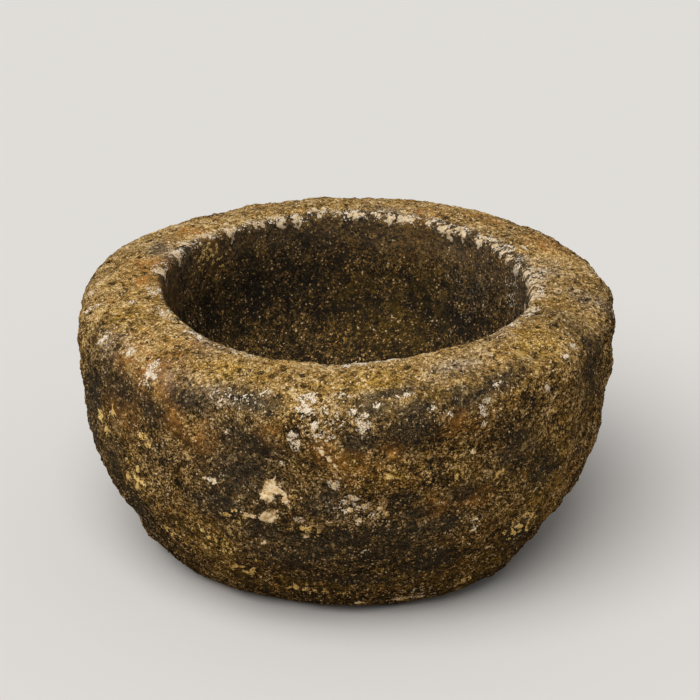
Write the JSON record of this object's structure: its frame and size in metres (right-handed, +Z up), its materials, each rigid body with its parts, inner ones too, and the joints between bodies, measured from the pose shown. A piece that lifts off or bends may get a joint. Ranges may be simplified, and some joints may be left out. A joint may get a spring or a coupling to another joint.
{
  "type": "stone mortar",
  "caption": "Heavy round mortar hewn from solid granite, with a rough swelling flank, a broad worn rim and a deep smooth cavity for milling grain by hand.",
  "frame": {"origin": "middle of the flat foot, on the surface the bowl stands on", "axes": "+Z up out of the mouth, -Y towards the side that the picture shows, +X to the right of that side"},
  "size_m": [0.5566, 0.5535, 0.2834],
  "materials": {
    "stone": "rough"
  },
  "bodies": {
    "root": {"stone_bowl": "stone"}
  },
  "joints": []
}
